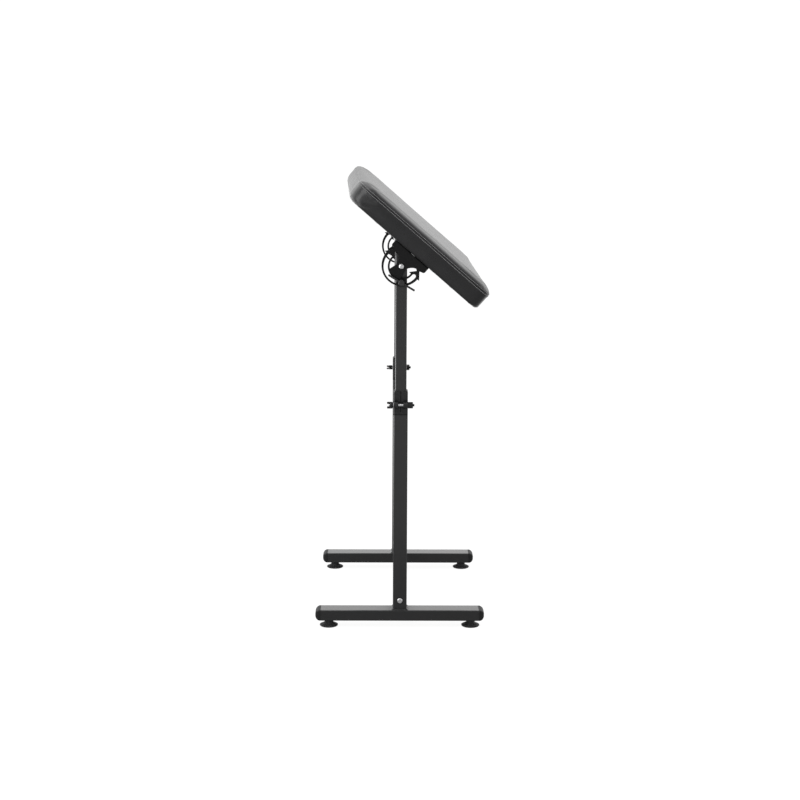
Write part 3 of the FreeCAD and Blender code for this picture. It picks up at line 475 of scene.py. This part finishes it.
def vinyl_leather(colour):
    """The pad's cover: pebbled grain, fine creases, a soft shine that varies, and painted shade along the
    sunk seam, where it is darker and duller.
    """
    recipe = Recipe("vinyl_leather")
    pebbles = recipe.cells(1.15 * MM, warp=0.0006)
    creases = recipe.cells(2.3 * MM, "DISTANCE_TO_EDGE", warp=0.0014).step(0.0, 0.16)
    pores = recipe.noise(0.45 * MM, 2)
    cloud = recipe.noise(60 * MM, 3)
    handled = recipe.noise(24 * MM, 4, rough=0.6).step(0.45, 0.8)
    seam = recipe.attribute("seam")
    shade = recipe.mix(cloud * 0.6 + creases * 0.4, opaque(colour, 0.75), opaque(colour, 1.25))
    # Painted shade: darker along the seam's groove, by the mask that the sewing leaves
    shade = recipe.mix(seam, shade, opaque(colour, 0.6))
    rough = 0.24 + cloud * 0.05 - handled * 0.03 + pebbles * 0.05 + seam * 0.3
    grain = (1 - pebbles) * 0.5 + creases * 0.35 + pores * 0.15
    return recipe.surface(base_color=shade, roughness=rough, normal=recipe.bump(grain, 0.12 * MM, 0.45),
                          specular_ior_level=0.45)


def sewing_thread(colour):
    """Bonded nylon thread, twisted and matt; its light colour stands in partly for the stitches' shine, as
    painted highlight.
    """
    recipe = Recipe("sewing_thread")
    ply = recipe.noise(0.35 * MM, 1)
    shade = recipe.mix(ply, opaque(colour, 0.6), opaque(colour, 1.4))
    return recipe.surface(base_color=shade, roughness=0.7 + ply * 0.1,
                          normal=recipe.bump(ply, 0.1 * MM, 0.6), specular_ior_level=0.15)


def backing_cloth(colour):
    """Thin non-woven cloth with a pressed dot pattern and loose fibres."""
    recipe = Recipe("backing_cloth")
    dots = recipe.cells(1.6 * MM).step(0.1, 0.35)
    fibres = recipe.noise(0.8 * MM, 5, rough=0.7)
    cloud = recipe.noise(14 * MM, 3)
    shade = recipe.mix(fibres * 0.6 + cloud * 0.4, opaque(colour, 0.5), opaque(colour, 1.9))
    shade = recipe.mix((1 - dots) * 0.5, shade, opaque(colour, 0.4))
    return recipe.surface(base_color=shade, roughness=0.88 + fibres * 0.1,
                          normal=recipe.bump(dots * 0.6 + fibres * 0.4, 0.15 * MM, 0.8),
                          specular_ior_level=0.2)


def plywood():
    """Birch ply: pale face grain, and thin dark glue lines through the board's thickness."""
    recipe = Recipe("plywood")
    grain = recipe.noise(3 * MM, 4, stretch=(1, 0.05, 1))
    rings = recipe.node("ShaderNodeTexWave", {"wave_type": "BANDS", "bands_direction": "X"},
                        {"Vector": recipe.place, "Scale": 30.0, "Distortion": 6.0, "Detail": 3.0}, "Fac")
    shade = recipe.mix(grain * 0.6 + rings * 0.4, (0.66, 0.5, 0.33, 1), (0.45, 0.3, 0.17, 1))
    return recipe.surface(base_color=shade, roughness=0.6 + grain * 0.15,
                          normal=recipe.bump(grain, 0.1 * MM, 0.4), specular_ior_level=0.3)


def cushion_foam():
    """Open-cell foam."""
    recipe = Recipe("cushion_foam")
    cells = recipe.cells(0.9 * MM)
    shade = recipe.mix(cells, (0.72, 0.66, 0.46, 1), (0.5, 0.43, 0.26, 1))
    return recipe.surface(base_color=shade, roughness=0.9 + cells * 0.05,
                          normal=recipe.bump(cells, 0.3 * MM, 0.9))


def studio_floor(studio):
    """Pale floor that reads white to the camera where no shadow falls, and is mirrored darker in front."""
    recipe = Recipe("studio_floor")
    grain = recipe.noise(20 * MM, 2)
    plain = recipe.dull(recipe.mix(grain, grey(0.8), grey(0.83)))
    # The camera sees it glow nearly white and the lamps add the rest, so that shadows still show
    nearly_white, takes_shadow = recipe.glow(0.92), recipe.dull(grey(0.2))
    white = recipe.node("ShaderNodeAddShader", {}, {0: takes_shadow, 1: nearly_white})
    across, depth = [recipe.axis(name) for name in "XY"]
    behind = depth.step(0.25, 0.7)
    far_in_front = 1 - depth.step(-1.6, -0.5)
    far_left = 1 - across.step(-2.0, -1.1)
    bright = behind * (studio.floor - studio.front) + studio.front + far_in_front * studio.far
    mirrored = recipe.glow(bright + far_left * studio.side)
    shader = recipe.blend(recipe.ray("Camera"), plain, white)
    return recipe.end(recipe.blend(recipe.ray("Glossy"), shader, mirrored))


# Filled by the first step
MATERIALS = {}


def coat(piece, finish):
    """Give a piece one of the finishes, whichever slots it has."""
    mesh = piece.data
    mesh.materials.clear()
    mesh.materials.append(MATERIALS[finish])


def add_piece(piece, finish, slot, body, *nodes):
    """Finish a new piece: its material, its body, and the CAD nodes that it stands for, which are hidden. The
    slot is not used.
    """
    coat(piece, finish)
    if nodes:
        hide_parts(*nodes)
    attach(piece, body)


def both(*stems):
    """The near and the far node of each stem."""
    return [f"{stem}_{side}" for stem in stems for side in SIDES]


CORNERS = [f"{side}_{hand}" for side in SIDES for hand in HANDS]
FINISH_OF = {
    "powder_coat": both("foot_bar", "lower_post", "upper_tube", "lock_screw", "lock_bar") + ["cross_beam"],
    "plate_coat": both("tilt_plate", "lock_washer") + ["pad_screws"],
    "satin_plastic": both("clamp_collar"),
    "moulded_plastic": both("clamp_cap", "wing_nut", "tube_glide", "top_plug")
    + [f"end_cap_{corner}" for corner in CORNERS] + ["pivot_spacers", "beam_nut_plugs"],
    "soft_rubber": [f"suction_foot_{corner}" for corner in CORNERS],
    "zinc_steel": ["foot_studs", "foot_inserts", "beam_bolts", "clamp_bolts", "clamp_washers", "pivot_bolts",
                   "pivot_washers", "pivot_nuts", "lock_inserts", "pad_tee_nuts", "pad_staples"],
    "vinyl_leather": ["pad_side_cover", "pad_top_cover"],
    "backing_cloth": ["pad_backing_cloth"],
    "cushion_foam": ["pad_foam"],
    "plywood": ["pad_board"],
}


class STAND_OT_finishes(Operator):
    """Mix the finishes and give every CAD node its own"""
    bl_idname = "stand.finishes"
    bl_label = "Finishes"

    def execute(self, context):
        colours = context.scene.stand_finishes
        MATERIALS.update({
            "powder_coat": powder_coat("powder_coat", colours.paint, sheen=0.42, lacquer=0.65),
            # A darker, duller copy of the powder coat: partly a matt finish, partly painted shade for parts
            # that sit under the pad
            "plate_coat": powder_coat("plate_coat", colours.plate, sheen=0.22, lacquer=0.05),
            "moulded_plastic": moulded_plastic("moulded_plastic", colours.plastic, matt=0.5, sheen=0.32),
            "satin_plastic": moulded_plastic("satin_plastic", colours.plastic, matt=0.34, sheen=0.42),
            "soft_rubber": soft_rubber(colours.rubber),
            "zinc_steel": zinc_steel(colours.steel),
            "vinyl_leather": vinyl_leather(colours.leather),
            "sewing_thread": sewing_thread(colours.thread),
            "backing_cloth": backing_cloth(colours.cloth),
            "plywood": plywood(),
            "cushion_foam": cushion_foam(),
            "studio_floor": studio_floor(context.scene.stand_studio),
        })
        for finish, names in FINISH_OF.items():
            for name in names:
                for slot in frame["nodes"][name].material_slots:
                    slot.material = MATERIALS[finish]
        return {"FINISHED"}


# The pad

def box_form(pad):
    """The pad's plain form, level: plan corners, a rolled shoulder and a small round along the bottom."""
    room_to_swell = 2.5 * MM
    bottom_round = 4 * MM
    bpy.ops.mesh.primitive_cube_add(size=1)
    form = named("pad_cushion")
    form.scale = (pad.width - room_to_swell, pad.length - room_to_swell, pad.thickness)
    form.location = (pad.offset, 0, pad.thickness / 2)
    settle(form)
    edit(form, "EDGE", lambda edge: abs(ends(form, edge)[0].z - ends(form, edge)[1].z) > MM)
    bpy.ops.mesh.bevel(offset=pad.corner, segments=8, affect="EDGES")
    done()
    edit(form, "EDGE", lambda edge: min(end.z for end in ends(form, edge)) > pad.thickness - MM)
    bpy.ops.mesh.bevel(offset=pad.shoulder, segments=6, affect="EDGES")
    done()
    edit(form, "EDGE", lambda edge: max(end.z for end in ends(form, edge)) < MM)
    bpy.ops.mesh.bevel(offset=bottom_round, segments=3, affect="EDGES")
    done()
    return form


def inflate(form, pad):
    """Fill the cover with foam: cloth under pressure, held along its seam and under the board."""
    modify(form, "REMESH", mode="VOXEL", voxel_size=pad.voxel, use_smooth_shade=True)
    rest = [point.co.copy() for point in form.data.vertices]
    underside, seam_band, last_frame = 3 * MM, 3.5 * MM, 20
    held = form.vertex_groups.new(name="held")
    held.add([i for i, spot in enumerate(rest)
              if spot.z < underside or abs(spot.z - pad.seam) < seam_band], 1.0, "REPLACE")
    only(form)
    cloth = form.modifiers.new("Cloth", "CLOTH")
    cloth.settings.quality = 6
    cloth.settings.mass = 0.3
    cloth.settings.tension_stiffness = 25
    cloth.settings.compression_stiffness = 20
    cloth.settings.bending_stiffness = 1.5
    cloth.settings.use_pressure = True
    cloth.settings.uniform_pressure_force = pad.pressure
    cloth.settings.vertex_group_mass = "held"
    cloth.settings.effector_weights.gravity = 0
    cloth.point_cache.frame_start = 1
    cloth.point_cache.frame_end = last_frame
    for step in range(1, last_frame + 1):
        bpy.context.scene.frame_set(step)
    bpy.ops.object.modifier_apply(modifier="Cloth")
    bpy.context.scene.frame_set(1)
    for point, before in zip(form.data.vertices, rest):
        moved = point.co - before
        if moved.length > pad.swell:
            point.co = before + moved.normalized() * pad.swell
    form.vertex_groups.clear()


def past_straights(point, pad):
    """How far a point lies beyond the straight part of the sides, across and along, or less than 0."""
    return (abs(point.x - pad.offset) - (pad.width / 2 - pad.corner),
            abs(point.y) - (pad.length / 2 - pad.corner))


def outward(point, pad):
    """The level direction from the pad's inside to a point on its side."""
    past_x, past_y = past_straights(point, pad)
    way = Vector((math.copysign(max(0.0, past_x), point.x - pad.offset),
                  math.copysign(max(0.0, past_y), point.y), 0))
    return way.normalized() if way.length > 0 else way


def inset(point, pad):
    """How far a point lies inside the pad's rounded outline in plan."""
    past_x, past_y = past_straights(point, pad)
    return pad.corner - math.hypot(max(past_x, 0), max(past_y, 0)) - min(max(past_x, past_y), 0)


def bell(distance, width):
    """1 at no distance, and near 0 beyond twice the width."""
    return math.exp(-(distance / width) ** 2)


def waves(spot, across, along, layer):
    """Soft waves from -1 to 1 of a size in metres, others for each layer."""
    return noise.noise(Vector((spot.x / across, spot.y / along, layer)))


def side_lift(spot, way, pad):
    """A side's own shape: the seam sunk between two rolls, its puckers, slow waves and the end's bulge."""
    above = spot.z - pad.seam
    pucker = waves(spot, 0.0085, 0.0085, spot.z / 0.03)
    ease = waves(spot, 0.05, 0.05, 3.0)
    sink = 1.2 * (1 - way.x ** 2)
    groove = bell(above, 1.5 * MM)
    rolls = bell(abs(above) - 4.2 * MM, 3 * MM)
    lift = way * (-sink * groove + 0.6 * rolls) * MM
    lift += way * pucker * bell(above, 11 * MM) * (0.45 + 0.45 * ease) * MM
    lift += way * (ease * 0.9 * MM + pad.bulge * max(0.0, -way.x) ** 2) * min(1.0, spot.z / 0.02)
    return lift


def hem_lift(spot, pad):
    """The underside's step up to the board inside the hem, or the hem's folds that fan at the corners."""
    board_depth, step_width = 1.7 * MM, 1.5 * MM
    folds, fold_depth, fade_in = 14, 0.5 * MM, 0.02
    past_x = abs(spot.x - pad.offset) - (pad.width / 2 - pad.hem)
    past_y = abs(spot.y) - (pad.length / 2 - pad.hem)
    if past_x > 0 and past_y > 0:
        fan = math.sin(math.atan2(past_y, past_x) * folds)
        return -max(0.0, fan) * fold_depth * min(1.0, math.hypot(past_x, past_y) / fade_in)
    return board_depth * min(1.0, max(0.0, -max(past_x, past_y) / step_width))


def sew(form, pad):
    """Cut rows along the seam, sink it between two rolls, pucker it, and gather the hem at its corners."""
    rows = (-6.4, -3.2, -1.2, 0, 1.2, 3.2, 6.4)
    for height in rows:
        edit(form, "VERT", lambda point: True)
        bpy.ops.mesh.bisect(plane_co=(0, 0, pad.seam + height * MM), plane_no=(0, 0, 1), threshold=0.05 * MM)
        done()
    underside, side_foot = 3 * MM, 6 * MM
    top_start, top_blend = 4 * MM, 8 * MM
    # Painted shade: a mask, 1 in the sunk seam and fading out on the ends, that darkens the leather there
    shade = form.data.attributes.new("seam", "FLOAT", "POINT")
    for i, point in enumerate(form.data.vertices):
        spot = point.co.copy()
        above = spot.z - pad.seam
        way = outward(spot, pad)
        lift = Vector((0, 0, 0))
        if way.length > 0:
            shade.data[i].value = bell(above, 1.3 * MM) * (1 - way.x ** 2)
            if spot.z > side_foot:
                lift += side_lift(spot, way, pad)
        if above > top_start:
            lift.z += (waves(spot, 0.075, 0.11, 7.0) * 0.45 + waves(spot, 0.018, 0.03, 1.0) * 0.07) * MM
            share = min(1.0, (above - top_start) / top_blend)
            lift.z -= pad.fall * share * way.x ** 2 * bell(inset(spot, pad), pad.fade)
        if spot.z < underside:
            lift.z += hem_lift(spot, pad)
        point.co = spot + lift


def lay(pieces, pad):
    """Turn level pad pieces on their plates, tilt them and seat them over the pivot."""
    spin = (Matrix.Translation((pad.offset, 0, 0)) @ Matrix.Rotation(pad.turn, 4, "Z")
            @ Matrix.Translation((-pad.offset, 0, 0)))
    seat = Matrix.Translation(PIVOT) @ Matrix.Rotation(pad.tilt, 4, "Y") @ Matrix.Translation((0, 0, pad.gap))
    for piece in pieces:
        piece.data.transform(seat @ spin)
        piece.data.update()


def beads(path, unit, pitch, name):
    """Repeat a small unit, which lies along X, round a closed curve, and leave one mesh."""
    only(unit)
    along = unit.modifiers.new("Array", "ARRAY")
    along.fit_type = "FIT_CURVE"
    along.curve = path
    along.use_relative_offset = False
    along.use_constant_offset = True
    along.constant_offset_displace = (pitch, 0, 0)
    follow = unit.modifiers.new("Curve", "CURVE")
    follow.object = path
    follow.deform_axis = "POS_X"
    bpy.ops.object.modifier_apply(modifier="Array")
    bpy.ops.object.modifier_apply(modifier="Curve")
    bpy.data.objects.remove(path, do_unlink=True)
    only(unit)
    return named(name)


def grain_of_rice(radii, segments=8, rings=6):
    """A small rounded unit that starts at the origin and lies along X."""
    bpy.ops.mesh.primitive_uv_sphere_add(segments=segments, ring_count=rings, radius=1)
    unit = bpy.context.object
    unit.rotation_euler = (0, math.pi / 2, 0)
    settle(unit)
    unit.scale = radii
    unit.location = (radii[0], 0, 0)
    settle(unit)
    return smooth(unit, 80)


def as_curve(piece):
    """Turn a mesh that is only a line of edges into a curve."""
    only(piece)
    bpy.ops.object.convert(target="CURVE")
    return bpy.context.object


def level_loop(form, height, name):
    """The closed curve in which a level plane cuts a form."""
    only(form)
    bpy.ops.object.duplicate()
    loop = named(name)
    edit(loop, "VERT", lambda point: True)
    bpy.ops.mesh.bisect(plane_co=(0, 0, height), plane_no=(0, 0, 1), clear_inner=True, clear_outer=True)
    done()
    return as_curve(loop)


class STAND_OT_pad(Operator):
    """Fill, sew and seat the cushion with its two rows of stitches"""
    bl_idname = "stand.pad"
    bl_label = "Pad"

    def execute(self, context):
        pad = context.scene.stand_pad
        cushion = box_form(pad)
        inflate(cushion, pad)
        modify(cushion, "SUBSURF", levels=1, subdivision_type="CATMULL_CLARK")
        sew(cushion, pad)
        smooth(cushion, 60)
        stitch = (pad.stitch * 0.42, 0.6 * MM, 0.5 * MM)
        rows = []
        for name, height in (("lower", pad.seam - pad.row), ("upper", pad.seam + pad.row)):
            path = level_loop(cushion, height, f"seam_{name}")
            rows.append(beads(path, grain_of_rice(stitch), pad.stitch, f"pad_stitches_{name}"))
        lay([cushion, *rows], pad)
        add_piece(cushion, "vinyl_leather", "black_leather", "arm_pad",
                  "pad_side_cover", "pad_top_cover", "pad_foam")
        for row in rows:
            add_piece(row, "sewing_thread", "black_leather", "arm_pad")
        return {"FINISHED"}


class STAND_OT_backing(Operator):
    """Stretch the backing cloth under the board"""
    bl_idname = "stand.backing"
    bl_label = "Backing Cloth"

    def execute(self, context):
        pad = context.scene.stand_pad
        flat = (pad.width - 2 * pad.hem, pad.length - 2 * pad.hem)
        clear, face, height, thickness = 0.6 * MM, 5 * MM, 1.0 * MM, 0.5 * MM
        bpy.ops.mesh.primitive_grid_add(x_subdivisions=round(flat[0] / face),
                                        y_subdivisions=round(flat[1] / face), size=1)
        cloth = named("pad_backing")
        cloth.scale = (flat[0] - clear, flat[1] - clear, 1)
        cloth.location = (pad.offset, 0, height)
        settle(cloth)
        for point in cloth.data.vertices:
            puff = waves(point.co, 0.05, 0.07, 2.0)
            drawn = waves(point.co, 0.012, 0.012, 5.0)
            point.co.z += (puff * 0.4 + drawn * 0.12) * MM
        modify(cloth, "SOLIDIFY", thickness=thickness, offset=0)
        smooth(cloth, 50)
        lay([cloth], pad)
        add_piece(cloth, "backing_cloth", "backing_fabric", "arm_pad", "pad_backing_cloth")
        return {"FINISHED"}


class STAND_OT_welds(Operator):
    """Run a rippled weld round the foot of each post"""
    bl_idname = "stand.welds"
    bl_label = "Welds"

    def execute(self, context):
        weld = context.scene.stand_weld
        ripple = (1.5 * MM, 1.9 * MM, 1.6 * MM)
        for side in SIDES:
            low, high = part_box(f"lower_post_{side}")
            centre = (low + high) / 2
            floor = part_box(f"foot_bar_{side}")[1].z
            bpy.ops.mesh.primitive_plane_add(size=POST_WIDTH + weld.spread,
                                             location=(centre.x, centre.y, floor + weld.rise))
            square = settle(bpy.context.object)
            edit(square, "VERT", lambda point: True)
            bpy.ops.mesh.bevel(offset=weld.corner, segments=5, affect="VERTICES")
            bpy.ops.mesh.delete(type="ONLY_FACE")
            done()
            bead = beads(as_curve(square), grain_of_rice(ripple, 12, 8), weld.pitch, f"weld_bead_{side}")
            add_piece(bead, "powder_coat", "black_paint", "base")
        return {"FINISHED"}


# The studio

def lamp(name, spot, aim, width, power):
    """A square soft box that faces a point."""
    bpy.ops.object.light_add(type="AREA", location=spot)
    light = bpy.context.object
    light.name = name
    light.data.shape = "SQUARE"
    light.data.size = width
    light.data.energy = power
    light.rotation_euler = (Vector(aim) - Vector(spot)).to_track_quat("-Z", "Y").to_euler()


def room_light(scene, studio):
    """A white surround with a soft box on each side, as surfaces mirror it, and a level for dull ones."""
    recipe = Recipe("room", world=True)
    across, depth, up = [recipe.axis(name) for name in "XYZ"]
    room = depth.step(-1.0, 0.3) * (studio.back - studio.front) + studio.front
    aside, back, high = SOFTBOX_WAY
    toward = recipe.math("ABSOLUTE", across, 0) * aside + depth * back + up * high
    mirrored = room + toward.step(0.8, 0.97) * studio.softbox
    seen = recipe.ray("Camera")
    clear = seen.at_least(recipe.ray("Glossy")).at_least(recipe.ray("Transmission"))
    strength = clear * (mirrored.at_least(seen) - studio.surround) + studio.surround
    sky = recipe.node("ShaderNodeBackground", {}, {"Color": grey(1.0), "Strength": strength})
    recipe.end(sky, "World")
    scene.world = recipe.owner


def set_camera(scene, studio):
    """The photograph's camera: turned by yaw, then pitched down, then rolled."""
    bpy.ops.object.camera_add()
    camera = bpy.context.object
    camera.name = "camera"
    camera.data.lens = studio.lens
    camera.data.sensor_width = 36
    camera.data.clip_end = 100
    level = Vector((math.sin(studio.yaw), math.cos(studio.yaw), 0))
    right = Vector((math.cos(studio.yaw), -math.sin(studio.yaw), 0))
    forward = level * math.cos(studio.pitch) - Vector((0, 0, 1)) * math.sin(studio.pitch)
    up = level * math.sin(studio.pitch) + Vector((0, 0, 1)) * math.cos(studio.pitch)
    across = right * math.cos(studio.roll) + up * math.sin(studio.roll)
    upright = up * math.cos(studio.roll) - right * math.sin(studio.roll)
    turn = Matrix((across, upright, -forward)).transposed().to_4x4()
    spot = Vector((studio.across, -studio.distance, studio.height))
    camera.matrix_world = Matrix.Translation(spot) @ turn
    scene.camera = camera


class STAND_OT_stage(Operator):
    """Lay the floor, hang the lamps and set the camera where the photograph was taken"""
    bl_idname = "stand.stage"
    bl_label = "Stage"

    def execute(self, context):
        studio = context.scene.stand_studio
        bpy.ops.mesh.primitive_plane_add(size=60)
        floor = named("floor")
        coat(floor, "studio_floor")
        for name, (spot, aim, width, setting) in LAMPS.items():
            lamp(name, spot, aim, width, getattr(studio, setting))
        room_light(context.scene, studio)
        set_camera(context.scene, studio)
        context.scene.view_settings.view_transform = "Standard"
        return {"FINISHED"}


# The panel and the steps in order

class STAND_PT_panel(Panel):
    """Lists the steps in order"""
    bl_label = "Arm Rest Stand"
    bl_space_type = "VIEW_3D"
    bl_region_type = "UI"
    bl_category = "Stand"

    def draw(self, context):
        for step in STEPS:
            self.layout.operator(step.bl_idname)
        for group in GROUPS:
            settings = getattr(context.scene, group)
            for name in settings.bl_rna.properties.keys():
                if name not in ("rna_type", "name"):
                    self.layout.prop(settings, name)


STEPS = (STAND_OT_finishes, STAND_OT_pad, STAND_OT_backing, STAND_OT_welds, STAND_OT_stage)
GROUPS = {"stand_pad": PadSizes, "stand_weld": WeldSizes, "stand_finishes": Finishes,
          "stand_studio": Studio}


def register():
    for kind in (*GROUPS.values(), *STEPS, STAND_PT_panel):
        bpy.utils.register_class(kind)
    for name, kind in GROUPS.items():
        setattr(bpy.types.Scene, name, PointerProperty(type=kind))


def unregister():
    for name in GROUPS:
        delattr(bpy.types.Scene, name)
    for kind in (STAND_PT_panel, *reversed(STEPS), *reversed(GROUPS.values())):
        bpy.utils.unregister_class(kind)


def main():
    """Run every step in order."""
    register()
    for step in STEPS:
        group, name = step.bl_idname.split(".")
        getattr(getattr(bpy.ops, group), name)()


if __name__ == "__main__":
    main()
